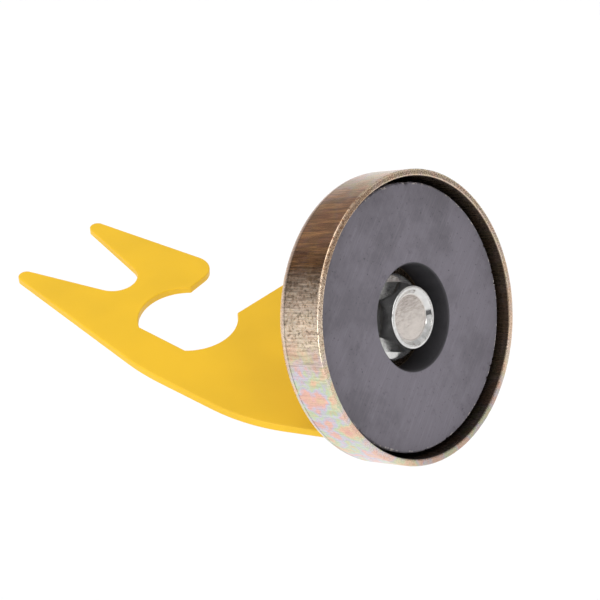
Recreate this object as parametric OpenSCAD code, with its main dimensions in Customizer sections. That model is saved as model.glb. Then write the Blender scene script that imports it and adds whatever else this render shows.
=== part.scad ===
// Magnetic forked tool rest: a pot magnet with a bent, forked steel plate bolted to its back.
// Millimetres. Origin: centre of the magnet's working plane, on the bolt axis.
// +Y points away from the steel that the magnet grips, +Z is up, +X runs along the bend.

/* [Magnet] */
// Outside diameter of the steel cup
cup_d = 66; // [64:0.5:90]
// Depth of the cup, from its rim to its back
cup_h = 12.8; // [12.2:0.1:20]
// Thickness of the cup's side wall at the rim
cup_wall = 1.6; // [1:0.1:2]
// Thickness of the cup's floor
cup_floor = 2; // [1.5:0.1:3]
// Radius on the cup's outer rear corner
cup_corner_r = 2.6; // [2:0.1:3.2]
// Radius on both edges of the rim
cup_lip_r = 0.4; // [0.1:0.05:0.45]
// Outside diameter of the ferrite ring
ferrite_d = 60.5; // [50:0.5:60.5]
// Diameter of the hole through the ferrite ring
ferrite_bore_d = 24; // [21:0.5:30]
// Thickness of the ferrite ring
ferrite_t = 8; // [7:0.1:9]
// Size of the small chamfer on the ferrite's face
ferrite_chamfer = 0.3; // [0.1:0.05:0.6]
// Thickness of the adhesive under the ferrite
adhesive_t = 0.2; // [0.1:0.05:0.3]

/* [Holder plate] */
// Thickness of the steel sheet
plate_t = 2; // [1.5:0.1:2.5]
// Angle at which the plate rises away from the magnet's axis
plate_rise = 27.2; // [15:0.1:35]
// Drop from the bolt axis to the centre of the bend
bend_drop = 15.7; // [15:0.1:19]
// Half the width of the tab that is bolted to the magnet
tab_half_w = 22.5; // [20:0.5:24]
// Inside radius of the bend
bend_ri = 2; // [1:0.1:3]
// Sideways offset of the fork and of the round notch from the bolt axis
fork_x = -13.2; // [-16:0.1:-10]

/* [Round notch] */
// Distance of the notch's centre along the plate, from the end of the bend
notch_y = 52.3; // [50:0.1:54]
// Radius of the round notch
notch_r = 12.4; // [11:0.1:12.8]
// Distance from the notch's centre to the flat on its far side from the mouth
notch_flat = 10; // [9.5:0.1:12]
// Tilt of that flat
notch_flat_tilt = 3.4; // [0:0.1:6]
// Half the width of the mouth, measured level with the notch's centre
mouth_half_w = 7.2; // [6:0.1:8]
// Angle by which each side of the mouth opens outwards
mouth_flare = 4.5; // [0:0.1:5]

/* [Fork] */
// Distance along the plate, from the end of the bend, of the round at the bottom of the fork's gap
vee_y = 78.5; // [77.5:0.1:80.5]
// Radius of that round
vee_r = 6; // [5:0.1:6.5]
// Radius of both prong tips
tip_r = 2; // [1.5:0.1:2.5]
// Distance of the left prong's tip centre from the fork's centre line
left_tip_x = 14.5; // [12:0.1:16]
// Distance of the left prong's tip centre along the plate, from the end of the bend
left_tip_y = 95.9; // [93:0.1:100]
// Distance of the right prong's tip centre from the fork's centre line
right_tip_x = 12.6; // [12:0.1:15]
// Distance of the right prong's tip centre along the plate, from the end of the bend
right_tip_y = 97.8; // [93:0.1:100]
// Radius of the nose where the right prong turns into the notch's mouth
nose_r = 5.6; // [4:0.1:6]

/* [Bolt and nut] */
// Thread diameter
bolt_d = 10; // [9:0.5:10]
// Length of the bolt under its head
bolt_l = 20; // [20:1:25]
// Width across the flats of the bolt's head
head_af = 14; // [13:0.5:16]
// Height of the bolt's head
head_h = 6; // [5:0.1:6.5]
// Turn of the bolt's head, from straight up to its first corner
head_turn = 25.5; // [0:0.5:60]
// Width across the flats of the nut
nut_af = 17; // [16:0.5:18]
// Height of the nut
nut_h = 8; // [6:0.1:8.4]
// Outside diameter of the flat washers
washer_d = 20; // [18:0.5:21]
// Thickness of the flat washers
washer_t = 2; // [1.5:0.1:2]
// Outside diameter of the spring lock washer
lock_d = 18; // [16:0.5:18.5]
// Thickness of the spring lock washer
lock_t = 2.2; // [1.5:0.1:2.5]

/* [Hidden] */
$fn = 96;
small_fn = 48;
large_fn = 180;
eps = 0.01;
// How far each round stands proud of the lines that run into it, so that they cross cleanly
blend = 0.002;

// Stations along +Y, from the rim backwards
cup_back = cup_h;
floor_y = cup_h - cup_floor;
ferrite_y = floor_y - adhesive_t - ferrite_t;
head_seat_y = floor_y - washer_t;
plate_back = cup_back + plate_t;
lock_y = plate_back + washer_t;
nut_y = lock_y + lock_t;

cup_r = cup_d / 2;
cup_inner_r = cup_r - cup_wall;
cup_inner_corner_r = 1.1;
adhesive_inset = 1;

// Holes round the bolt
washer_hole_d = bolt_d + 0.5;
cup_hole_d = bolt_d + 0.5;
plate_hole_d = bolt_d + 0.2;
lock_hole_d = bolt_d + 0.4;
nut_hole_d = bolt_d + 0.1;
edge_chamfer = 0.3;
bolt_end_chamfer = 0.9;
thread_mouth_chamfer = 0.6;

// Bolt head: a steep cone takes the corners off and a shallow dish sinks its top
head_top_inset = 0.1;
head_top_r = head_af / 2 - head_top_inset;
head_cone = 28;
dish_depth = 1;
dish_floor_inset = 1.5;
dish_mouth_inset = 0.75;
dish_floor_r = head_top_r - dish_floor_inset;
dish_mouth_r = head_top_r - dish_mouth_inset;
nut_face_inset = 0.4;
nut_cone = 60;
nut_turn = 8;

// Lock washer: one slanted cut
lock_gap = 1.6;
lock_gap_slant = 25;

// Bend, seen from the side as [y, z]: its centre, its outside radius and half the angle it encloses
bend_c = [plate_back + bend_ri, -bend_drop];
bend_ro = bend_ri + plate_t;
bend_half = (90 - plate_rise) / 2;
sheet_reach = 200;
// How far a cutting solid runs past what it cuts
trim_margin = 1;

// Landmarks of the plate's outline, as [along the bend, along the plate from the bend's end]
notch_c = [fork_x, notch_y];
vee_c = [fork_x, vee_y];
left_tip = [fork_x - left_tip_x, left_tip_y];
right_tip = [fork_x + right_tip_x, right_tip_y];
nose_from_fork = 15;
nose_x = fork_x + nose_from_fork;
nose_c = [nose_x, mouth_wall(nose_x, 1) + nose_r / cos(mouth_flare)];
shoulder = [-34.4, 47.8];
shoulder_r = 60;
root = [-31.9, 17.3];
root_r = 45;
heel_r = 5;
heel = [tab_half_w, mouth_wall(tab_half_w, -1)];

function bearing(a) = [cos(a), sin(a)];
// Height of the mouth's upper (side 1) or lower (side -1) wall at x
function mouth_wall(x, side) = notch_y + side * (mouth_half_w + (x - fork_x) * tan(mouth_flare));
// Bearing of the contact point of the line that touches circle p of radius r and circle q of
// radius s; a negative s gives the line that crosses between them
function touch(p, r, q, s, side) =
    let (d = q - p) atan2(d[1], d[0]) + side * acos((r - s) / norm(d));

// Turns a profile drawn as [radius, distance along +Y] about the bolt axis
module turned() {
    rotate([-90, 0, 0]) rotate_extrude() children();
}

// A ring about the bolt axis with small chamfers on its four edges
module ring(r_out, r_in, y, t, chamfer) {
    turned() polygon([
        [r_in + chamfer, y], [r_out - chamfer, y], [r_out, y + chamfer], [r_out, y + t - chamfer],
        [r_out - chamfer, y + t], [r_in + chamfer, y + t], [r_in, y + t - chamfer], [r_in, y + chamfer]
    ]);
}

// A hexagon about the bolt axis, with a corner at the given turn from straight up towards +X
module hexagon(af, y, h, turn) {
    translate([0, y, 0]) rotate([-90, 0, 0]) rotate([0, 0, turn - 90])
        cylinder(r = af / 2 / cos(30), h = h, $fn = 6);
}

// Removes the tip of the corner p, between the directions to a and b, down to a radius r
module corner_trim(p, a, b, r) {
    u = (a - p) / norm(a - p);
    v = (b - p) / norm(b - p);
    half = acos(u * v) / 2;
    inwards = (u + v) / norm(u + v);
    difference() {
        polygon([p + u * r / tan(half), p - inwards, p + v * r / tan(half)]);
        translate(p + inwards * r / sin(half)) circle(r + blend, $fn = large_fn);
    }
}

module notch_outline() {
    intersection() {
        translate(notch_c) circle(notch_r);
        translate(notch_c) rotate(notch_flat_tilt)
            translate([-notch_flat, -notch_r]) square([2 * notch_r, 2 * notch_r]);
    }
}

// The flat part of the plate, drawn from the end of the bend outwards. It runs past the sheet's
// straight right-hand edge, which cuts it
module plate_outline() {
    nose_to_tip = touch(nose_c, nose_r, right_tip, tip_r, -1);
    vee_to_right = touch(vee_c, vee_r, right_tip, -tip_r, -1);
    vee_to_left = touch(vee_c, vee_r, left_tip, -tip_r, 1);
    shoulder_to_tip = touch(shoulder, 0, left_tip, tip_r, 1);
    past_x = tab_half_w + trim_margin;
    body = [
        [past_x, 0], [past_x, mouth_wall(past_x, -1)], [fork_x, mouth_wall(fork_x, -1)],
        [fork_x, mouth_wall(fork_x, 1)], nose_c + nose_r * bearing(mouth_flare - 90),
        nose_c + nose_r * bearing(nose_to_tip), right_tip + tip_r * bearing(nose_to_tip),
        right_tip - tip_r * bearing(vee_to_right), vee_c + vee_r * bearing(vee_to_right),
        vee_c + vee_r * bearing(vee_to_left), left_tip - tip_r * bearing(vee_to_left),
        left_tip + tip_r * bearing(shoulder_to_tip), shoulder, root, [-tab_half_w, 0]
    ];
    difference() {
        union() {
            polygon(body);
            translate(left_tip) circle(tip_r + blend);
            translate(right_tip) circle(tip_r + blend);
            translate(nose_c) circle(nose_r + blend);
        }
        translate(vee_c) circle(vee_r + blend);
        notch_outline();
        corner_trim(shoulder, left_tip + tip_r * bearing(shoulder_to_tip), root, shoulder_r);
        corner_trim(root, shoulder, [-tab_half_w, 0], root_r);
        corner_trim(heel, [tab_half_w, 0], [fork_x, mouth_wall(fork_x, -1)], heel_r);
    }
}

// The tab, round above the bolt axis and straight below it, down past the bend
module tab_outline() {
    drop = bend_drop + bend_ro + trim_margin;
    circle(tab_half_w);
    translate([-tab_half_w, -drop]) square([2 * tab_half_w, drop]);
}

// Side view of the space above a bent sheet, whose corner is rounded to a radius r
module side_wedge(r) {
    corner = bend_c - r / sin(bend_half) * bearing(plate_rise + bend_half);
    along_plate = corner + sheet_reach * bearing(plate_rise);
    along_tab = corner + sheet_reach * bearing(90);
    difference() {
        polygon([corner, along_plate, along_tab]);
        corner_trim(corner, along_plate, along_tab, r);
    }
}

module magnet_cup() {
    color([0.72, 0.62, 0.42]) turned() difference() {
        union() {
            translate([0, cup_lip_r]) square([cup_r, cup_h - cup_lip_r - cup_corner_r]);
            translate([cup_inner_r + cup_lip_r, 0]) square([cup_wall - 2 * cup_lip_r, cup_h / 2]);
            translate([0, floor_y]) square([cup_r - cup_corner_r, cup_floor]);
            translate([cup_r - cup_corner_r, cup_h - cup_corner_r]) circle(cup_corner_r);
            for (r = [cup_inner_r + cup_lip_r, cup_r - cup_lip_r])
                translate([r, cup_lip_r]) circle(cup_lip_r, $fn = small_fn);
        }
        translate([-eps, -eps]) square([cup_inner_r - cup_inner_corner_r + eps, floor_y + eps]);
        translate([0, cup_lip_r]) square([cup_inner_r, floor_y - cup_lip_r - cup_inner_corner_r]);
        translate([cup_inner_r - cup_inner_corner_r, floor_y - cup_inner_corner_r])
            circle(cup_inner_corner_r, $fn = small_fn);
        square([cup_hole_d / 2, cup_h + eps]);
    }
}

module ferrite_ring() {
    color([0.26, 0.25, 0.27])
        ring(ferrite_d / 2, ferrite_bore_d / 2, ferrite_y, ferrite_t, ferrite_chamfer);
}

module adhesive_bed() {
    color([0.35, 0.3, 0.22]) turned()
        translate([ferrite_bore_d / 2, floor_y - adhesive_t])
            square([ferrite_d / 2 - adhesive_inset - ferrite_bore_d / 2, adhesive_t]);
}

module front_washer() {
    color([0.8, 0.8, 0.78])
        ring(washer_d / 2, washer_hole_d / 2, head_seat_y, washer_t, edge_chamfer);
}

module hex_bolt() {
    head_y = head_seat_y - head_h;
    shank_end = head_seat_y + bolt_l;
    color([0.86, 0.86, 0.85]) {
        difference() {
            union() {
                intersection() {
                    hexagon(head_af, head_y, head_h, head_turn);
                    turned() polygon([
                        [0, head_y], [head_top_r, head_y],
                        [head_top_r + head_h * tan(head_cone), head_seat_y], [0, head_seat_y]
                    ]);
                }
                turned() polygon([
                    [0, head_seat_y - eps], [bolt_d / 2, head_seat_y - eps],
                    [bolt_d / 2, shank_end - bolt_end_chamfer],
                    [bolt_d / 2 - bolt_end_chamfer, shank_end], [0, shank_end]
                ]);
            }
            turned() polygon([
                [0, head_y - eps], [dish_mouth_r, head_y - eps], [dish_mouth_r, head_y],
                [dish_floor_r, head_y + dish_depth], [0, head_y + dish_depth]
            ]);
        }
    }
}

module holder_plate() {
    color([0.95, 0.74, 0.16]) difference() {
        intersection() {
            // The bent sheet, cut straight at the right-hand edge of the tab
            translate([tab_half_w - sheet_reach, 0, 0]) rotate([90, 0, 90])
                linear_extrude(sheet_reach) difference() {
                    side_wedge(bend_ro);
                    side_wedge(bend_ri);
                }
            union() {
                // Outline of the tab and of the bend below it
                translate([0, bend_c[0] + bend_ro, 0]) rotate([90, 0, 0])
                    linear_extrude(bend_c[0] + bend_ro - cup_back + trim_margin) tab_outline();
                // Outline of the plate, from the end of the bend
                translate([0, bend_c[0], bend_c[1]]) rotate([plate_rise, 0, 0])
                    translate([0, 0, -bend_ro - trim_margin])
                        linear_extrude(plate_t + 2 * trim_margin) plate_outline();
            }
        }
        translate([0, cup_back - eps, 0]) rotate([-90, 0, 0])
            cylinder(d = plate_hole_d, h = plate_t + 2 * eps);
    }
}

module rear_washer() {
    color([0.8, 0.8, 0.78])
        ring(washer_d / 2, washer_hole_d / 2, plate_back, washer_t, edge_chamfer);
}

module lock_washer() {
    color([0.7, 0.7, 0.7]) difference() {
        ring(lock_d / 2, lock_hole_d / 2, lock_y, lock_t, edge_chamfer / 2);
        translate([0, lock_y + lock_t / 2, lock_d / 2]) rotate([0, lock_gap_slant, 0])
            cube([lock_gap, 2 * lock_t, lock_d / 2 + 2 * trim_margin], center = true);
    }
}

module hex_nut() {
    corner_r = nut_af / 2 / cos(30);
    flat_r = nut_af / 2 - nut_face_inset;
    drop = (corner_r - flat_r) / tan(nut_cone);
    mouth_r = nut_hole_d / 2 + thread_mouth_chamfer;
    color([0.82, 0.82, 0.8]) difference() {
        intersection() {
            hexagon(nut_af, nut_y, nut_h, nut_turn);
            turned() polygon([
                [0, nut_y], [flat_r, nut_y], [corner_r, nut_y + drop],
                [corner_r, nut_y + nut_h - drop], [flat_r, nut_y + nut_h], [0, nut_y + nut_h]
            ]);
        }
        turned() polygon([
            [0, nut_y - eps], [mouth_r, nut_y - eps], [mouth_r, nut_y],
            [nut_hole_d / 2, nut_y + thread_mouth_chamfer],
            [nut_hole_d / 2, nut_y + nut_h - thread_mouth_chamfer],
            [mouth_r, nut_y + nut_h], [mouth_r, nut_y + nut_h + eps], [0, nut_y + nut_h + eps]
        ]);
    }
}

magnet_cup();
ferrite_ring();
adhesive_bed();
front_washer();
hex_bolt();
holder_plate();
rear_washer();
lock_washer();
hex_nut();
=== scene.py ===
"""Magnetic forked tool rest: finished surfaces and materials round the fixed CAD frame.

Metres, in the frame's own axes: the origin is the centre of the magnet's working plane, +Y points
away from the steel that it grips, along the bolt, and +Z is up. Angles round the bolt run from +Z
towards +X.
"""
import math

import bmesh
import bpy
import numpy as np
from bpy.props import FloatProperty, FloatVectorProperty, IntProperty, PointerProperty
from mathutils import Matrix, Vector


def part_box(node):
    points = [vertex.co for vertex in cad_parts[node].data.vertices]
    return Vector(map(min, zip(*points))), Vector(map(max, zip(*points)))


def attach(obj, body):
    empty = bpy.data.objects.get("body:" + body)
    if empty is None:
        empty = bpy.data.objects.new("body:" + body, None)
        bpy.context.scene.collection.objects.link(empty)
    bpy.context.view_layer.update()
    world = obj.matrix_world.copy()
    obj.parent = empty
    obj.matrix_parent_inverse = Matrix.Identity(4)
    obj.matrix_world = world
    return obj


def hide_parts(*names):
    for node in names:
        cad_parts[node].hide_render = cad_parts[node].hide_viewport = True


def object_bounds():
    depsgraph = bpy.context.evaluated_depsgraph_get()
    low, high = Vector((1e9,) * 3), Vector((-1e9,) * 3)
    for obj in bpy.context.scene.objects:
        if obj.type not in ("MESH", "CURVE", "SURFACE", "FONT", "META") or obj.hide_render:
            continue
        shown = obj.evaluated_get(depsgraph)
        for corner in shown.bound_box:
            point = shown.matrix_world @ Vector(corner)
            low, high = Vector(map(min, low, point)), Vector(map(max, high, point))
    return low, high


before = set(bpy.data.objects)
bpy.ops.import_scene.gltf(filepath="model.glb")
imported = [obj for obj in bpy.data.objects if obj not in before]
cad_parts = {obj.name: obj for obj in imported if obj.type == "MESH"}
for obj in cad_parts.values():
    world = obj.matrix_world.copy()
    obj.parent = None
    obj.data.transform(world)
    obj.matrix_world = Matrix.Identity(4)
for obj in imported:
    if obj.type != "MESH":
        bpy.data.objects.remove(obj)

CAD_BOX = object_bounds()

bl_info = {
    "name": "Magnetic forked tool rest",
    "version": (1, 0, 0),
    "blender": (4, 5, 0),
    "location": "3D View > Sidebar > Tool Rest",
    "description": "Builds a pot magnet with a bent, forked steel plate, and the stage it is seen on",
    "category": "Object",
}

MM = 0.001
WELD = 1e-7
SMOOTH_ANGLE = math.radians(32)
RIPPLE_SINES = 14

# Where a finish, a painted highlight or a painted shade changes, in metres from the bolt's axis or
# along it: the change's start and end.
CUP_INSIDE = (0.03145, 0.03165)
CUP_REAR_CORNER = ((0.0102, 0.0104), (0.0125, 0.01275))
CUP_TANGENT_SHADE = ((0.0098, 0.01005), (0.01010, 0.0103))
CUP_RIM_FACE = (0.00025, 0.0006)
FERRITE_EDGE = (0.0296, 0.0299)
FERRITE_BORE = (0.01215, 0.01245)
DISH_RADIUS = (0.0050, 0.0056)
DISH_DEPTH = (0.0040, 0.0044)


# ---------------------------------------------------------------- settings

def length(name, description, value, low, high):
    """A length property, in metres."""
    return FloatProperty(name=name, description=description, default=value, min=low, max=high,
                         precision=5, subtype="DISTANCE", unit="LENGTH")


def colour(name, description, value):
    """A linear colour property."""
    return FloatVectorProperty(name=name, description=description, default=value, size=3,
                               min=0.0, max=1.0, subtype="COLOR")


class ToolRestSizes(bpy.types.PropertyGroup):
    """Sizes of the details that the frame's boxes don't give."""
    cup_wall: length("Cup wall", "Thickness of the cup's side wall", 1.6 * MM, 1 * MM, 2 * MM)
    cup_floor: length("Cup floor", "Thickness of the cup's floor", 2 * MM, 1.5 * MM, 3 * MM)
    cup_corner: length("Cup corner", "Radius of the cup's rear corner", 2.6 * MM, 2 * MM, 3.2 * MM)
    cup_lip: length("Cup lip", "Radius on both edges of the rim", 0.4 * MM, 0.1 * MM, 0.45 * MM)
    bore_d: length("Ferrite bore", "Diameter of the hole through the ferrite", 24 * MM, 21 * MM, 30 * MM)
    head_af: length("Head flats", "Width across the flats of the bolt's head", 14 * MM, 13 * MM, 16 * MM)
    nut_af: length("Nut flats", "Width across the flats of the nut", 17 * MM, 16 * MM, 18 * MM)
    bolt_d: length("Bolt diameter", "Thread diameter of the bolt", 10 * MM, 9 * MM, 10 * MM)
    pitch: length("Thread pitch", "Distance between two turns of the thread", 1.5 * MM, 1 * MM, 2 * MM)
    sheet_edge: length("Sheet edge", "Radius that the paint gives the plate's edges", 0.32 * MM,
                       0.1 * MM, 0.6 * MM)
    head_turn: FloatProperty(name="Head turn", description="Turn of the head's first corner from +Z",
                             default=math.radians(25.5), subtype="ANGLE", unit="ROTATION")
    nut_turn: FloatProperty(name="Nut turn", description="Turn of the nut's first corner from +Z",
                            default=math.radians(8), subtype="ANGLE", unit="ROTATION")
    segments: IntProperty(name="Segments", description="Steps round the bolt's axis", default=288,
                          min=96, max=576)


class ToolRestColours(bpy.types.PropertyGroup):
    """Main colours of the finishes."""
    paint: colour("Paint", "Yellow powder coat", (0.80, 0.478, 0.011))
    # Gold, brown and pale are laid out by height round the cup: partly real chromate tints, partly
    # painted reflection.
    gold: colour("Chromate gold", "Yellow side of the chromated zinc", (0.56, 0.385, 0.27))
    brown: colour("Chromate brown", "Dark side of the chromated zinc", (0.195, 0.078, 0.030))
    pale: colour("Chromate pale", "Pale side of the chromated zinc", (0.70, 0.46, 0.37))
    ferrite: colour("Ferrite", "Ground face of the ring magnet", (0.165, 0.152, 0.178))
    zinc: colour("Zinc", "Bright zinc plate", (0.79, 0.785, 0.775))


# ---------------------------------------------------------------- surfaces

def rounded(corners, closed=True, steps=8):
    """Points [n, 2] along an outline whose corners are arcs. A corner is (radius from the axis, y,
    rounding radius q). The arc's centre lies on the corner's bisector at q / sin(half the angle),
    and its points run evenly between the bearings of the two contact points."""
    points = np.array([c[:2] for c in corners], float)
    parts = []
    last = len(corners) - 1
    for i, p in enumerate(points):
        q = corners[i][2]
        if q == 0 or (not closed and i in (0, last)):
            parts.append(p[None])
            continue
        u, v = points[i - 1] - p, points[(i + 1) % len(corners)] - p
        u, v = u / np.linalg.norm(u), v / np.linalg.norm(v)
        half = math.acos(float(np.clip(u @ v, -1, 1))) / 2
        centre = p + (u + v) / np.linalg.norm(u + v) * q / math.sin(half)
        first, final = p + u * q / math.tan(half) - centre, p + v * q / math.tan(half) - centre
        start = math.atan2(first[1], first[0])
        turn = (math.atan2(final[1], final[0]) - start + math.pi) % (2 * math.pi) - math.pi
        bearing = start + turn * np.linspace(0, 1, steps)
        parts.append(centre + q * np.stack([np.cos(bearing), np.sin(bearing)], axis=1))
    return np.concatenate(parts)


def refined(points, spacing, closed=True):
    """The same outline with points added so that none are further apart than the spacing: its
    coordinates are read at even steps of its own length, as well as at its own points."""
    path = np.concatenate([points, points[:1]]) if closed else points
    run = np.concatenate([[0], np.cumsum(np.linalg.norm(np.diff(path, axis=0), axis=1))])
    gap = spacing / 4
    extra = np.arange(spacing, run[-1], spacing)
    extra = extra[np.abs(extra[:, None] - run[None]).min(axis=1) > gap]
    at = np.sort(np.concatenate([run, extra]))
    out = np.stack([np.interp(at, run, path[:, k]) for k in range(2)], axis=1)
    return out[:-1] if closed else out


def turned(outline, angles, rule=None):
    """Grid of points [angle, outline, xyz] from an outline [n, (radius, y)] carried round the bolt's
    axis: x = r sin(angle), z = r cos(angle). A rule may change r, y and the angle over the grid."""
    a = np.broadcast_to(angles[:, None], (len(angles), len(outline)))
    r = np.broadcast_to(outline[None, :, 0], a.shape)
    y = np.broadcast_to(outline[None, :, 1], a.shape)
    if rule is not None:
        a, r, y = rule(a, r, y)
    return np.stack([r * np.sin(a), y, r * np.cos(a)], axis=-1)


def hexagon(angle, across_flats, turn, crispness=70.0):
    """Distance from the axis to a hexagon with slightly rounded corners: the six faces' distances
    joined by a power mean, so a high power gives a crisp corner."""
    faces = turn + np.radians(30 + 60 * np.arange(6))
    reach = np.clip(np.cos(angle[..., None] - faces), 1e-6, None) / (across_flats / 2)
    return (reach ** crispness).sum(axis=-1) ** (-1 / crispness)


def soft_least(a, b, crispness=90.0):
    """The lesser of two positive lengths, with the crease between them slightly rounded."""
    least = np.minimum(a, b)
    return least * ((a / least) ** -crispness + (b / least) ** -crispness) ** (-1 / crispness)


def mesh_piece(name, grid, body, material, wrap_angle=True, wrap_outline=True, caps=False):
    """A piece from a grid of points: one quad between neighbours, wrapped where a direction is
    closed. Rows that meet on the axis are welded, and caps close the two ends of an open sweep."""
    n, m = grid.shape[:2]
    i, j = np.meshgrid(np.arange(n if wrap_angle else n - 1), np.arange(m if wrap_outline else m - 1),
                       indexing="ij")
    i2, j2 = (i + 1) % n, (j + 1) % m
    quads = np.stack([i * m + j, i2 * m + j, i2 * m + j2, i * m + j2], axis=-1).reshape(-1, 4)
    faces = quads.tolist()
    if caps:
        faces += [list(range(m)), list(range((n - 1) * m, n * m))]
    mesh = bpy.data.meshes.new(name)
    mesh.from_pydata(grid.reshape(-1, 3).tolist(), [], faces)
    tidied = bmesh.new()
    tidied.from_mesh(mesh)
    bmesh.ops.remove_doubles(tidied, verts=tidied.verts, dist=WELD)
    bmesh.ops.recalc_face_normals(tidied, faces=tidied.faces)
    tidied.to_mesh(mesh)
    tidied.free()
    return finished(bpy.data.objects.new(name, mesh), body, material)


def finished(piece, body, material):
    """Links a piece, smooths it between its sharp edges, and gives it its body, slot and material."""
    bpy.context.scene.collection.objects.link(piece)
    piece.data.shade_smooth()
    piece.data.set_sharp_from_angle(angle=SMOOTH_ANGLE)
    piece.data.materials.clear()
    piece.data.materials.append(material)
    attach(piece, body)
    return piece


def around(segments):
    """Even angles once round the axis."""
    return np.linspace(0, 2 * math.pi, segments, endpoint=False)


def ripple(angles, seed, waves, size):
    """A gentle closed wobble: a sum of sines at whole numbers of waves a turn, from a seeded draw,
    whose heights add up to the given size."""
    draw = np.random.default_rng(seed)
    counts = draw.integers(waves[0], waves[1], RIPPLE_SINES)
    heights = draw.uniform(0.3, 1.0, RIPPLE_SINES)
    phases = draw.uniform(0, 2 * math.pi, RIPPLE_SINES)
    total = (heights * np.sin(angles[..., None] * counts + phases)).sum(axis=-1)
    return size * total / heights.sum()


# ---------------------------------------------------------------- shader maths

class Value:
    """A number or colour that varies over a surface. Python's operators add Math nodes."""

    def __init__(self, finish, socket):
        self.finish = finish
        self.socket = socket

    def math(self, operation, *others):
        return self.finish.node("ShaderNodeMath", {"operation": operation},
                                dict(enumerate((self, *others))))

    def __add__(self, other):
        return self.math("ADD", other)

    def __sub__(self, other):
        return self.math("SUBTRACT", other)

    def __mul__(self, other):
        return self.math("MULTIPLY", other)

    def __truediv__(self, other):
        return self.math("DIVIDE", other)

    def __pow__(self, other):
        return self.math("POWER", other)

    def __rsub__(self, other):
        return self.finish.node("ShaderNodeMath", {"operation": "SUBTRACT"}, {0: other, 1: self})

    __radd__ = __add__
    __rmul__ = __mul__


class Finish:
    """A material under construction, whose patterns read the piece's own Object coordinates."""

    def __init__(self, name):
        self.material = bpy.data.materials.new(name)
        self.material.use_nodes = True
        self.tree = self.material.node_tree
        self.tree.nodes.clear()
        self.place = self.node("ShaderNodeTexCoord", output="Object")
        self.x, self.y, self.z = (self.node("ShaderNodeSeparateXYZ", {}, {0: self.place}, axis)
                                  for axis in range(3))

    def node(self, kind, settings=None, inputs=None, output=0):
        """Adds a node: its settings first, then the values or links of its sockets."""
        made = self.tree.nodes.new(kind)
        for key, value in (settings or {}).items():
            if key == "stops":
                while len(made.color_ramp.elements) < len(value):
                    made.color_ramp.elements.new(1.0)
                for element, (position, shade) in zip(made.color_ramp.elements, value):
                    element.position, element.color = position, (*shade, 1.0)
            else:
                setattr(made, key, value)
        for key, value in (inputs or {}).items():
            if isinstance(value, Value):
                self.tree.links.new(value.socket, made.inputs[key])
            else:
                made.inputs[key].default_value = value
        return Value(self, made.outputs[output]) if made.outputs else None

    def mix(self, factor, first, second):
        """Blends two colours."""
        first, second = ((*c, 1.0) if not isinstance(c, Value) else c for c in (first, second))
        return self.node("ShaderNodeMix", {"data_type": "RGBA"}, {0: factor, 6: first, 7: second}, 2)

    def tint(self, base, factor):
        """A colour times a number, worked out at once where neither varies."""
        if not isinstance(base, Value) and not isinstance(factor, Value):
            return tuple(c * factor for c in base)
        return self.node("ShaderNodeVectorMath", {"operation": "SCALE"}, {0: base, "Scale": factor})

    def smooth(self, value, low, high, start=0.0, end=1.0):
        """Runs smoothly from start to end as the value goes from low to high."""
        return self.node("ShaderNodeMapRange", {"interpolation_type": "SMOOTHSTEP"},
                         {0: value, 1: low, 2: high, 3: start, 4: end})

    def band(self, value, rise, fall):
        """1 inside a band with smooth edges: the value's range where it rises, and where it falls."""
        return self.smooth(value, *rise) * (1 - self.smooth(value, *fall))

    def stretched(self, scale, turn=(0.0, 0.0, 0.0)):
        """The surface's coordinates, turned and then scaled along each axis."""
        placed = self.node("ShaderNodeMapping", {"vector_type": "POINT"},
                           {0: self.place, 2: turn})
        return self.node("ShaderNodeVectorMath", {"operation": "MULTIPLY"}, {0: placed, 1: scale})

    def noise(self, scale, detail=3.0, roughness=0.55, where=None):
        """Cloudy noise from 0 to 1. The scale is in features a metre, unless where is stretched."""
        return self.node("ShaderNodeTexNoise", {"noise_dimensions": "3D"},
                         {"Vector": where or self.place, "Scale": scale, "Detail": detail,
                          "Roughness": roughness})

    def radius(self):
        """Distance from the bolt's axis."""
        return (self.x * self.x + self.z * self.z) ** 0.5

    def bump(self, height, strength, distance):
        """A surface normal from a height."""
        return self.node("ShaderNodeBump", {}, {"Strength": strength, "Distance": distance,
                                                "Height": height})

    def close(self, base, roughness, normal=None, metallic=0.0, **constants):
        """Joins everything to the surface shader. Constants are set on its own sockets."""
        inputs = {"Base Color": base, "Roughness": roughness, "Metallic": metallic}
        if normal is not None:
            inputs["Normal"] = normal
        inputs.update({key.replace("_", " ").title().replace("Ior", "IOR"): value
                       for key, value in constants.items()})
        shader = self.node("ShaderNodeBsdfPrincipled", {}, inputs)
        self.node("ShaderNodeOutputMaterial", {}, {"Surface": shader})
        return self.material


# ---------------------------------------------------------------- finishes

def powder_coat(colours):
    """Smooth yellow powder coat: faint clouds of colour and a fine orange peel."""
    f = Finish("yellow_powder_coat")
    clouds = f.noise(45.0, 2.0)
    base = f.mix(f.smooth(clouds, 0.3, 0.7), f.tint((*colours.paint,), 0.95),
                 f.tint((*colours.paint,), 1.04))
    peel = f.noise(700.0, 2.0, 0.5)
    grain = f.noise(5200.0, 2.0, 0.6)
    roughness = f.smooth(f.noise(240.0, 3.0), 0.2, 0.8, 0.36, 0.50)
    return f.close(base, roughness, f.bump(peel + grain * 0.12, 0.16, 0.00012),
                   coat_weight=0.05, coat_roughness=0.3, specular_ior_level=0.35)


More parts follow.
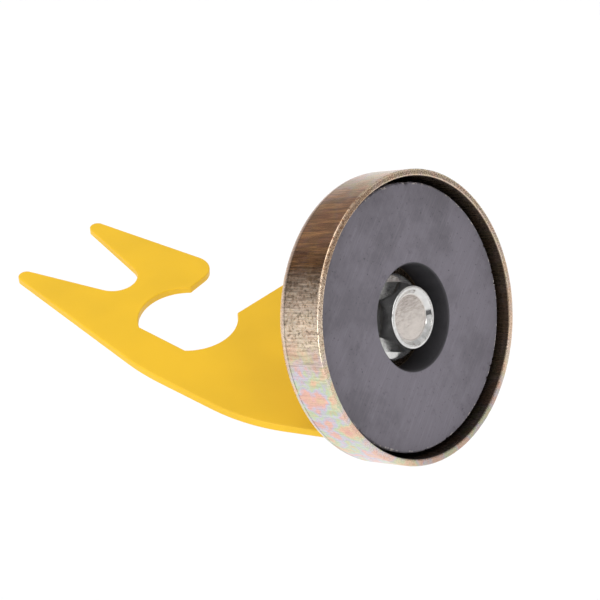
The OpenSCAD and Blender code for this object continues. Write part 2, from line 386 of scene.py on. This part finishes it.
def chromate(colours):
    """Yellow-chromated zinc, with fine marks along the cup's axis where the die drew it. It is brown
    and gold above and pale and iridescent below: partly real chromate tints, partly painted
    reflection. Angles are in radians round the bolt."""
    f = Finish("chromated_zinc")
    angle = f.node("ShaderNodeMath", {"operation": "ARCTAN2"}, {0: f.x, 1: f.z})
    drawn = f.noise(1.0, 5.0, 0.72, f.stretched((3000.0, 160.0, 3000.0)))
    streaks = f.noise(1.0, 3.0, 0.6, f.stretched((900.0, 70.0, 900.0)))
    patches = f.noise(110.0, 4.0, 0.62)
    flecks = f.noise(1500.0, 3.0, 0.7)
    wander = angle + (patches - 0.5) * 0.8
    # Painted reflection, partly real chromate tint: gold above, pale and iridescent below, and a dark
    # brown band at the upper left, set by the angle round the bolt.
    upper = f.band(wander, (-1.52, -1.28), (2.25, 2.80))
    brown_band = f.band(wander, (-1.15, -0.80), (-0.35, 0.20))
    film = f.node("ShaderNodeValToRGB", {"stops": [
        (0.34, (0.78, 0.40, 0.33)), (0.42, (0.80, 0.56, 0.36)), (0.47, (0.52, 0.70, 0.44)),
        (0.52, (0.56, 0.58, 0.74)), (0.58, (0.82, 0.46, 0.40)), (0.68, (0.74, 0.54, 0.34))]},
        {0: f.noise(132.0, 4.0, 0.58)})
    base = f.mix(upper, (*colours.pale,), (*colours.gold,))
    base = f.mix(0.28 + (1 - upper) * 0.54, base, film)
    # The brown band and its copper streaks: partly real chromate brown, partly painted dark reflection.
    base = f.mix(brown_band * 0.86, base, (*colours.brown,))
    base = f.mix(f.smooth(streaks, 0.44, 0.62) * brown_band * 0.60, base, (0.50, 0.26, 0.11))
    speck_zone = f.band(angle, (-1.36, -1.18), (-0.92, -0.72))
    base = f.mix(speck_zone * 0.55, base, (0.88, 0.68, 0.50))
    base = f.mix(speck_zone * f.smooth(flecks, 0.46, 0.58) * 0.75, base, (0.78, 0.66, 0.54))
    base = f.mix(speck_zone * f.smooth(flecks, 0.47, 0.38) * 0.75, base, (0.13, 0.095, 0.07))
    # Real die marks, drawn as lighter and darker streaks of painted sheen, stronger in the upper region.
    marks_and_sheen = 0.35 + upper * 0.65
    base = f.mix(f.smooth(drawn, 0.48, 0.64) * marks_and_sheen * 0.55, base, f.tint(base, 1.60))
    base = f.mix(f.smooth(drawn, 0.50, 0.34) * marks_and_sheen * 0.60, base, f.tint(base, 0.45))
    # Painted highlight: the rounded rear corner is a lighter band.
    corner = f.band(f.y, *CUP_REAR_CORNER)
    base = f.mix(corner * 0.45, base, (0.80, 0.64, 0.54))
    # Painted shade: a dark line where the wall meets the rounded corner, broken up by the streaks.
    tangent_shade_line = f.band(f.y, *CUP_TANGENT_SHADE)
    base = f.mix(tangent_shade_line * f.smooth(streaks, 0.34, 0.52) * 0.65, base, (0.10, 0.07, 0.05))
    # Painted highlight along the rim face, broken up by the flecks.
    rim_mark = (1 - f.smooth(f.y, *CUP_RIM_FACE)) * f.smooth(flecks, 0.36, 0.52)
    base = f.mix(rim_mark * 0.45, base, (0.80, 0.66, 0.50))
    # Painted shade: the bottom of the cup is darkened.
    underside_shade = f.smooth(f.z / f.radius(), -0.72, -0.95)
    base = f.mix(underside_shade * 0.80, base, f.tint(base, 0.52))
    # Painted shade: the cup's inner wall and floor, in the gap round the ferrite, are near black.
    inside_shade = 1 - f.smooth(f.radius(), *CUP_INSIDE)
    base = f.mix(inside_shade * 0.88, base, (0.060, 0.040, 0.022))
    roughness = f.smooth(drawn, 0.3, 0.7, 0.18, 0.34)
    height = drawn * 0.7 + flecks * 0.3
    return f.close(base, roughness, f.bump(height, 0.20, 0.00005), metallic=0.88)


def ground_ferrite(colours):
    """Ground ceramic: matt dark grey, with slanting grinding lines, dark blotches and pinholes."""
    f = Finish("ground_ferrite")
    lines = f.noise(1.0, 4.0, 0.7, f.stretched((3600.0, 600.0, 120.0), (0.0, math.radians(-58), 0.0)))
    blotch = f.noise(75.0, 5.0, 0.68)
    marks = f.noise(330.0, 4.0, 0.7)
    pits = f.noise(1500.0, 2.0, 0.5)
    base = f.mix(f.smooth(blotch, 0.34, 0.58), f.tint((*colours.ferrite,), 0.74),
                 (*colours.ferrite,))
    base = f.mix(f.smooth(marks, 0.42, 0.28) * 0.55, base, f.tint(base, 0.60))
    base = f.mix(f.smooth(lines, 0.50, 0.70) * 0.40, base, f.tint(base, 1.45))
    base = f.mix(f.smooth(lines, 0.46, 0.30) * 0.30, base, f.tint(base, 0.70))
    base = f.mix(f.smooth(pits, 0.36, 0.26) * 0.6, base, (0.04, 0.036, 0.040))
    edge = f.smooth(f.radius(), *FERRITE_EDGE) * f.smooth(f.noise(1300.0, 3.0, 0.6), 0.57, 0.62)
    base = f.mix(edge * 0.9, base, (0.55, 0.50, 0.46))
    # Painted shade: the bore's wall, inside the hole, is near black.
    bore = 1 - f.smooth(f.radius(), *FERRITE_BORE)
    base = f.mix(bore * 0.88, base, (0.018, 0.0175, 0.019))
    return f.close(base, f.smooth(blotch, 0.2, 0.8, 0.62, 0.80),
                   f.bump(lines * 0.6 + pits * 0.4, 0.35, 0.00010), specular_ior_level=0.35)


def bright_zinc(colours, name="bright_zinc", dulling=1.0, dished=False):
    """Bright zinc plate: near-white metal with faint clouds and a fine grain. The floor of the bolt
    head's dish is painted darker and warmer, as shade in the sunken top."""
    f = Finish(name)
    clouds = f.noise(520.0, 3.0, 0.55)
    base = f.mix(f.smooth(clouds, 0.35, 0.7), f.tint((*colours.zinc,), 0.82 * dulling),
                 f.tint((*colours.zinc,), 1.05 * dulling))
    if dished:
        # Painted shade: the dish's sunken floor is darker and warmer.
        floor = (1 - f.smooth(f.radius(), *DISH_RADIUS)) * (1 - f.smooth(f.y, *DISH_DEPTH))
        base = f.mix(floor * 0.75, base, (0.6072, 0.5382, 0.4876))
    grain = f.noise(3800.0, 2.0, 0.6)
    return f.close(base, f.smooth(clouds, 0.25, 0.75, 0.08, 0.18),
                   f.bump(clouds * 0.85 + grain * 0.15, 0.26, 0.00011), metallic=0.90)


def resin():
    """Cured brown adhesive."""
    f = Finish("cured_resin")
    clouds = f.noise(300.0, 3.0)
    base = f.mix(clouds, (0.05, 0.036, 0.02), (0.09, 0.065, 0.035))
    return f.close(base, f.smooth(clouds, 0.3, 0.7, 0.45, 0.6), f.bump(clouds, 0.2, 0.0001))


# ---------------------------------------------------------------- pieces

class BuildCup(bpy.types.Operator):
    """Makes the pressed steel cup"""
    bl_idname = "tool_rest.cup"
    bl_label = "Cup"

    def execute(self, context):
        sizes = context.scene.tool_rest_sizes
        _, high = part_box("magnet_cup")
        radius, back = high.x, high.y
        inside, floor = radius - sizes.cup_wall, back - sizes.cup_floor
        hole = (sizes.bolt_d + 0.5 * MM) / 2
        hole_edge, inner_corner = 0.25 * MM, 1.1 * MM
        worn_depth, wear = 3 * MM, 0.09 * MM
        outline = refined(rounded([
            (radius, 0, sizes.cup_lip), (radius, back, sizes.cup_corner), (hole, back, hole_edge),
            (hole, floor, hole_edge), (inside, floor, inner_corner), (inside, 0, sizes.cup_lip)],
            steps=12), 1.2 * MM)

        def press_marks(a, r, y):
            """The rim's edge wavers by a few hundredths of a millimetre, fading out down the wall."""
            fade = np.clip(1 - y / worn_depth, 0, 1) ** 2
            rim_mark = np.minimum(ripple(a, 11, (30, 170), wear), 0) * fade
            return a, r + np.where(r > inside + sizes.cup_wall / 2, rim_mark, -rim_mark), y

        grid = turned(outline, around(sizes.segments * 2), press_marks)
        piece = mesh_piece("cup_shell", grid, "magnet",
                           chromate(context.scene.tool_rest_colours))
        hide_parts("magnet_cup")
        return {"FINISHED"}


class BuildFerrite(bpy.types.Operator):
    """Makes the ring magnet, with the small chips that its brittle edge has, and its resin bed"""
    bl_idname = "tool_rest.ferrite"
    bl_label = "Ferrite ring"

    def execute(self, context):
        sizes = context.scene.tool_rest_sizes
        low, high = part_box("ferrite_ring")
        radius, bore, chamfer = high.x, sizes.bore_d / 2, 0.3 * MM
        chip_count, chip_reach = 26, 0.9 * MM
        outline = refined(rounded([
            (radius, low.y + chamfer, 0), (radius, high.y, 0.15 * MM), (bore, high.y, 0.15 * MM),
            (bore, low.y + chamfer, 0.1 * MM), (bore + chamfer, low.y, 0.1 * MM),
            (radius - chamfer, low.y, 0.08 * MM)], steps=4), 0.9 * MM)

        def chips(a, r, y):
            """Scattered bites out of the front outer edge: each is a bump in angle, deepest at the
            edge and fading out at the chips' reach over face and wall."""
            draw = np.random.default_rng(5)
            places = draw.uniform(0, 2 * math.pi, chip_count)
            widths = draw.uniform(0.004, 0.014, chip_count)
            depths = draw.uniform(0.1, 0.5, chip_count) * MM
            apart = (a[..., None] - places + math.pi) % (2 * math.pi) - math.pi
            bite = (depths * np.exp(-(apart / widths) ** 2)).sum(axis=-1)
            from_edge = np.hypot(radius - r, y - low.y)
            near = np.clip(1 - from_edge / chip_reach, 0, 1)
            return a, r - bite * near, y + bite * near * 0.6

        grid = turned(outline, around(sizes.segments * 3), chips)
        colours = context.scene.tool_rest_colours
        piece = mesh_piece("ferrite_disc", grid, "magnet", ground_ferrite(colours))
        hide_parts("ferrite_ring")
        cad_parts["adhesive_bed"].material_slots[0].material = resin()
        return {"FINISHED"}


class BuildWashers(bpy.types.Operator):
    """Makes the two flat washers, each with one edge rounded by the punch and one left sharp"""
    bl_idname = "tool_rest.washers"
    bl_label = "Flat washers"

    def execute(self, context):
        sizes = context.scene.tool_rest_sizes
        material = bright_zinc(context.scene.tool_rest_colours, "washer_zinc")
        hole = (sizes.bolt_d + 0.5 * MM) / 2
        for node in ("front_washer", "rear_washer"):
            low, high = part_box(node)
            ends = (low.y, high.y) if node == "front_washer" else (high.y, low.y)
            outline = refined(rounded([
                (hole, ends[0], 0.15 * MM), (high.x, ends[0], 0.5 * MM), (high.x, ends[1], 0.1 * MM),
                (hole, ends[1], 0.1 * MM)], steps=7), 1 * MM)
            piece = mesh_piece(node + "_disc", turned(outline, around(sizes.segments)), "magnet",
                               material)
            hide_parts(node)
        return {"FINISHED"}


class BuildBolt(bpy.types.Operator):
    """Makes the bolt: a cold-formed hexagon head with a sunken top, and a rolled thread"""
    bl_idname = "tool_rest.bolt"
    bl_label = "Bolt"

    def execute(self, context):
        sizes = context.scene.tool_rest_sizes
        low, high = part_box("hex_bolt")
        top, end = low.y, high.y
        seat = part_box("front_washer")[0].y
        shank = sizes.bolt_d / 2
        collar, flat = 7.1 * MM, sizes.head_af / 2
        dish_floor, dish_mouth, dish_depth = 5.3 * MM, 6.25 * MM, 1 * MM
        corner = flat + 1.2 * MM
        chamfer, core = 0.9 * MM, 3.2 * MM
        runout, thread_height = 0.8 * MM, 0.61 * sizes.pitch
        blank = rounded([
            (0, top + dish_depth, 0), (dish_floor, top + dish_depth, 0.5 * MM),
            (dish_mouth, top + 0.02 * MM, 0.15 * MM),
            (collar, top, 0.25 * MM), (collar, top + 1.0 * MM, 0.1 * MM),
            (flat - 0.05 * MM, top + 1.1 * MM, 0.1 * MM), (corner, top + 3.9 * MM, 0.5 * MM),
            (corner, seat, 0.3 * MM), (shank, seat, 0.15 * MM), (shank, end - chamfer, 0),
            (shank - chamfer, end, 0.1 * MM), (0, end, 0)], closed=False, steps=8)
        outline = refined(blank, 0.12 * MM, closed=False)

        def cut(a, r, y):
            """The hexagon cuts the head below its collar, and the thread cuts the shank: a groove
            whose depth is a clipped triangle wave of the turn plus the distance along the bolt."""
            on_hexagon = (y > top + 1.05 * MM) & (y <= seat + WELD)
            hexed = soft_least(np.maximum(r, WELD), hexagon(a, sizes.head_af, sizes.head_turn))
            phase = (y / sizes.pitch - a / (2 * math.pi)) % 1.0
            groove = np.clip(1.15 - 2.6 * np.abs(phase - 0.5), 0, 1)
            depth = thread_height * (1 - groove)
            fade = np.clip((y - seat - runout) / runout, 0, 1)
            threaded = np.minimum(r, shank - depth * fade)
            on_shank = (y > seat + WELD) & (r > core)
            return a, np.where(on_hexagon & (r > shank), hexed, np.where(on_shank, threaded, r)), y

        piece = mesh_piece("bolt_body", turned(outline, sizes.head_turn + around(240), cut), "magnet",
                           bright_zinc(context.scene.tool_rest_colours, dished=True),
                           wrap_outline=False)
        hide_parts("hex_bolt")
        return {"FINISHED"}


class BuildNut(bpy.types.Operator):
    """Makes the hexagon nut and the split spring washer under it"""
    bl_idname = "tool_rest.nut"
    bl_label = "Nut and spring washer"

    def execute(self, context):
        sizes = context.scene.tool_rest_sizes
        colours = context.scene.tool_rest_colours
        low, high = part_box("hex_nut")
        bore, mouth = sizes.bolt_d / 2 + 0.05 * MM, 0.6 * MM
        face, corner = sizes.nut_af / 2 - 0.4 * MM, sizes.nut_af / 2 / math.cos(math.pi / 6)
        drop = (corner - face) / math.tan(math.radians(60))
        outline = refined(rounded([
            (bore, low.y + mouth, 0), (bore + mouth, low.y, 0.08 * MM), (face, low.y, 0.12 * MM),
            (corner, low.y + drop, 0.05 * MM), (corner, high.y - drop, 0.05 * MM),
            (face, high.y, 0.12 * MM), (bore + mouth, high.y, 0.08 * MM), (bore, high.y - mouth, 0)],
            steps=6), 0.25 * MM)

        def flats(a, r, y):
            """The hexagon cuts the nut's turned blank."""
            return a, soft_least(r, hexagon(a, sizes.nut_af, sizes.nut_turn)), y

        nut = mesh_piece("nut_body", turned(outline, sizes.nut_turn + around(240), flats), "magnet",
                         bright_zinc(colours, "nut_zinc"))
        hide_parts("hex_nut")

        low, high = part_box("lock_washer")
        middle, slant = (low.y + high.y) / 2, math.tan(math.radians(25))
        hole = (sizes.bolt_d + 0.4 * MM) / 2
        wire_edge = 0.15 * MM
        section = rounded([(hole, low.y, wire_edge), (high.x, low.y, wire_edge),
                           (high.x, high.y, wire_edge), (hole, high.y, wire_edge)], steps=5)
        gap = 1.6 * MM
        half_gap = gap / 2 / high.x

        def split(a, r, y):
            """The washer's two ends slant, so the angle leads with the distance along the bolt."""
            return a + slant * (y - middle) / high.x, r, y

        ring = turned(section, np.linspace(half_gap, 2 * math.pi - half_gap, 180), split)
        spring = mesh_piece("lock_washer_coil", ring, "magnet",
                            bright_zinc(colours, "spring_zinc", 0.72), wrap_angle=False, caps=True)
        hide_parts("lock_washer")
        return {"FINISHED"}


class BuildPlate(bpy.types.Operator):
    """Makes the painted plate, whose edges the powder coat rounds"""
    bl_idname = "tool_rest.plate"
    bl_label = "Holder plate"

    def execute(self, context):
        sizes = context.scene.tool_rest_sizes
        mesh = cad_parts["holder_plate"].data.copy()
        mesh.name = "painted_plate"
        sheet = bmesh.new()
        sheet.from_mesh(mesh)
        bmesh.ops.remove_doubles(sheet, verts=sheet.verts, dist=0.02 * MM)
        bmesh.ops.dissolve_limit(sheet, angle_limit=math.radians(0.5), verts=sheet.verts,
                                 edges=sheet.edges)
        sheet.to_mesh(mesh)
        sheet.free()
        piece = finished(bpy.data.objects.new("painted_plate", mesh), "holder",
                         powder_coat(context.scene.tool_rest_colours))
        bevel = piece.modifiers.new("paint_edge", "BEVEL")
        bevel.width = sizes.sheet_edge
        bevel.segments = 4
        bevel.limit_method = "ANGLE"
        bevel.angle_limit = math.radians(40)
        bevel.harden_normals = True
        bevel.use_clamp_overlap = False
        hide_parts("holder_plate")
        return {"FINISHED"}


# ---------------------------------------------------------------- stage

# Soft lights from far away: name, bearing that the light comes from, strength and spread.
SUNS = (
    ("overhead", (-0.20, -0.10, 1.0), 1.36, 50),
    ("low_left", (-0.95, -0.32, 0.12), 1.35, 45),
    ("glint", (-0.30, -0.90, 0.42), 0.24, 12),
)

# Cards that only reflections see: name, place from the middle of the object, width, height, shade.
CARDS = (
    ("card_behind", (-0.55, -0.85, 0.05), 0.9, 0.30, (0.03, 0.03, 0.035)),
    ("card_high_back", (-0.36, 0.72, 0.76), 0.46, 0.66, (0.03, 0.02, 0.015)),
    ("card_low_right", (0.62, -0.72, -0.24), 0.62, 0.40, (0.22, 0.185, 0.170)),
    ("card_right", (0.9, 0.1, 0.1), 0.5, 0.4, (0.05, 0.05, 0.05)),
)


FLOOR_REACH = 30.0
FLOOR_DROP = 0.30

# The room's strength at each height of the direction looked in: two heights, then two strengths.
ROOM = (0.03, 0.40, 1.02, 0.55)

SENSOR_WIDTH = 36.0
LENS = 79.66
CLIP = (0.01, 50.0)
CAMERA_PLACE = (-0.19643, -0.19270, 0.10930)
CAMERA_RIGHT = (0.63348, -0.69577, -0.33854)
CAMERA_UP = (0.47123, -0.00011, 0.88201)


def add_floor(scene, level):
    """A wide pale floor at a level."""
    floor_mesh = bpy.data.meshes.new("floor")
    corners = [(-FLOOR_REACH, -FLOOR_REACH, level), (FLOOR_REACH, -FLOOR_REACH, level),
               (FLOOR_REACH, FLOOR_REACH, level), (-FLOOR_REACH, FLOOR_REACH, level)]
    floor_mesh.from_pydata(corners, [], [(0, 1, 2, 3)])
    floor = bpy.data.objects.new("floor", floor_mesh)
    scene.collection.objects.link(floor)
    f = Finish("pale_floor")
    tone = f.mix(f.noise(3.0, 2.0), (0.93, 0.93, 0.93), (0.96, 0.96, 0.96))
    floor_mesh.materials.append(f.close(tone, 0.9, specular_ior_level=0.1))


def add_room(scene):
    """A white room, bright level with the floor and dimmer overhead, so that bare metal is shaded."""
    world = bpy.data.worlds.new("soft_room")
    world.use_nodes = True
    nodes, links = world.node_tree.nodes, world.node_tree.links
    direction = nodes.new("ShaderNodeTexCoord")
    parts = nodes.new("ShaderNodeSeparateXYZ")
    strength = nodes.new("ShaderNodeMapRange")
    for socket, value in zip(strength.inputs[1:5], ROOM):
        socket.default_value = value
    links.new(direction.outputs["Generated"], parts.inputs[0])
    links.new(parts.outputs["Z"], strength.inputs[0])
    links.new(strength.outputs[0], nodes["Background"].inputs["Strength"])
    nodes["Background"].inputs["Color"].default_value = (1.0, 1.0, 1.0, 1.0)
    scene.world = world
    scene.view_settings.view_transform = "Standard"


def add_suns(scene):
    """The soft lights."""
    for name, bearing, energy, spread in SUNS:
        sun_data = bpy.data.lights.new(name, "SUN")
        sun_data.energy = energy
        sun_data.angle = math.radians(spread)
        sun = bpy.data.objects.new(name, sun_data)
        sun.rotation_euler = Vector(bearing).to_track_quat("Z", "Y").to_euler()
        scene.collection.objects.link(sun)


def add_cards(scene, centre):
    """Flat glowing cards that face the middle of the object."""
    for name, place, width, height, shade in CARDS:
        card_mesh = bpy.data.meshes.new(name)
        place = Vector(place)
        side = place.cross(Vector((0, 0, 1))).normalized() * width / 2
        rise = side.cross(place).normalized() * height / 2
        corners = [centre + place + i * side + j * rise
                   for i, j in ((-1, -1), (1, -1), (1, 1), (-1, 1))]
        card_mesh.from_pydata(corners, [], [(0, 1, 2, 3)])
        f = Finish(name)
        tone = f.mix(f.noise(4.0), f.tint((*shade,), 0.9), f.tint((*shade,), 1.1))
        shader = f.node("ShaderNodeEmission", {}, {0: tone, 1: 1.0})
        f.node("ShaderNodeOutputMaterial", {}, {0: shader})
        card_mesh.materials.append(f.material)
        card = bpy.data.objects.new(name, card_mesh)
        card.visible_camera = False
        card.visible_shadow = False
        card.visible_diffuse = False
        scene.collection.objects.link(card)


def add_camera(scene):
    """The camera, from its place and its right and up directions."""
    data = bpy.data.cameras.new("camera")
    data.sensor_width, data.lens = SENSOR_WIDTH, LENS
    data.clip_start, data.clip_end = CLIP
    camera = bpy.data.objects.new("camera", data)
    right, up = Vector(CAMERA_RIGHT), Vector(CAMERA_UP)
    turn = Matrix((right, up, right.cross(up))).transposed().to_4x4()
    camera.matrix_world = Matrix.Translation(CAMERA_PLACE) @ turn
    scene.collection.objects.link(camera)
    scene.camera = camera


class BuildStage(bpy.types.Operator):
    """Makes the pale floor, the graded room, the soft lights, the reflection cards and the camera"""
    bl_idname = "tool_rest.stage"
    bl_label = "Stage"

    def execute(self, context):
        scene = context.scene
        low, high = CAD_BOX
        add_floor(scene, low.z - FLOOR_DROP)
        add_room(scene)
        add_suns(scene)
        add_cards(scene, (low + high) / 2)
        add_camera(scene)
        return {"FINISHED"}


# ---------------------------------------------------------------- panel

OPERATORS = (BuildStage, BuildCup, BuildFerrite, BuildWashers, BuildBolt, BuildNut, BuildPlate)


class TOOLREST_PT_panel(bpy.types.Panel):
    """Lists the pieces of the tool rest"""
    bl_label = "Tool Rest"
    bl_idname = "TOOLREST_PT_panel"
    bl_space_type = "VIEW_3D"
    bl_region_type = "UI"
    bl_category = "Tool Rest"

    def draw(self, context):
        for group in (context.scene.tool_rest_sizes, context.scene.tool_rest_colours):
            for key in group.bl_rna.properties.keys():
                if key not in ("rna_type", "name"):
                    self.layout.prop(group, key)
        for operator in OPERATORS:
            self.layout.operator(operator.bl_idname)


CLASSES = (ToolRestSizes, ToolRestColours, *OPERATORS, TOOLREST_PT_panel)


def register():
    for cls in CLASSES:
        bpy.utils.register_class(cls)
    bpy.types.Scene.tool_rest_sizes = PointerProperty(type=ToolRestSizes)
    bpy.types.Scene.tool_rest_colours = PointerProperty(type=ToolRestColours)


def unregister():
    del bpy.types.Scene.tool_rest_colours
    del bpy.types.Scene.tool_rest_sizes
    for cls in reversed(CLASSES):
        bpy.utils.unregister_class(cls)


def main():
    """Builds every piece in order."""
    register()
    for operator in OPERATORS:
        group, name = operator.bl_idname.split(".")
        getattr(getattr(bpy.ops, group), name)()


if __name__ == "__main__":
    main()
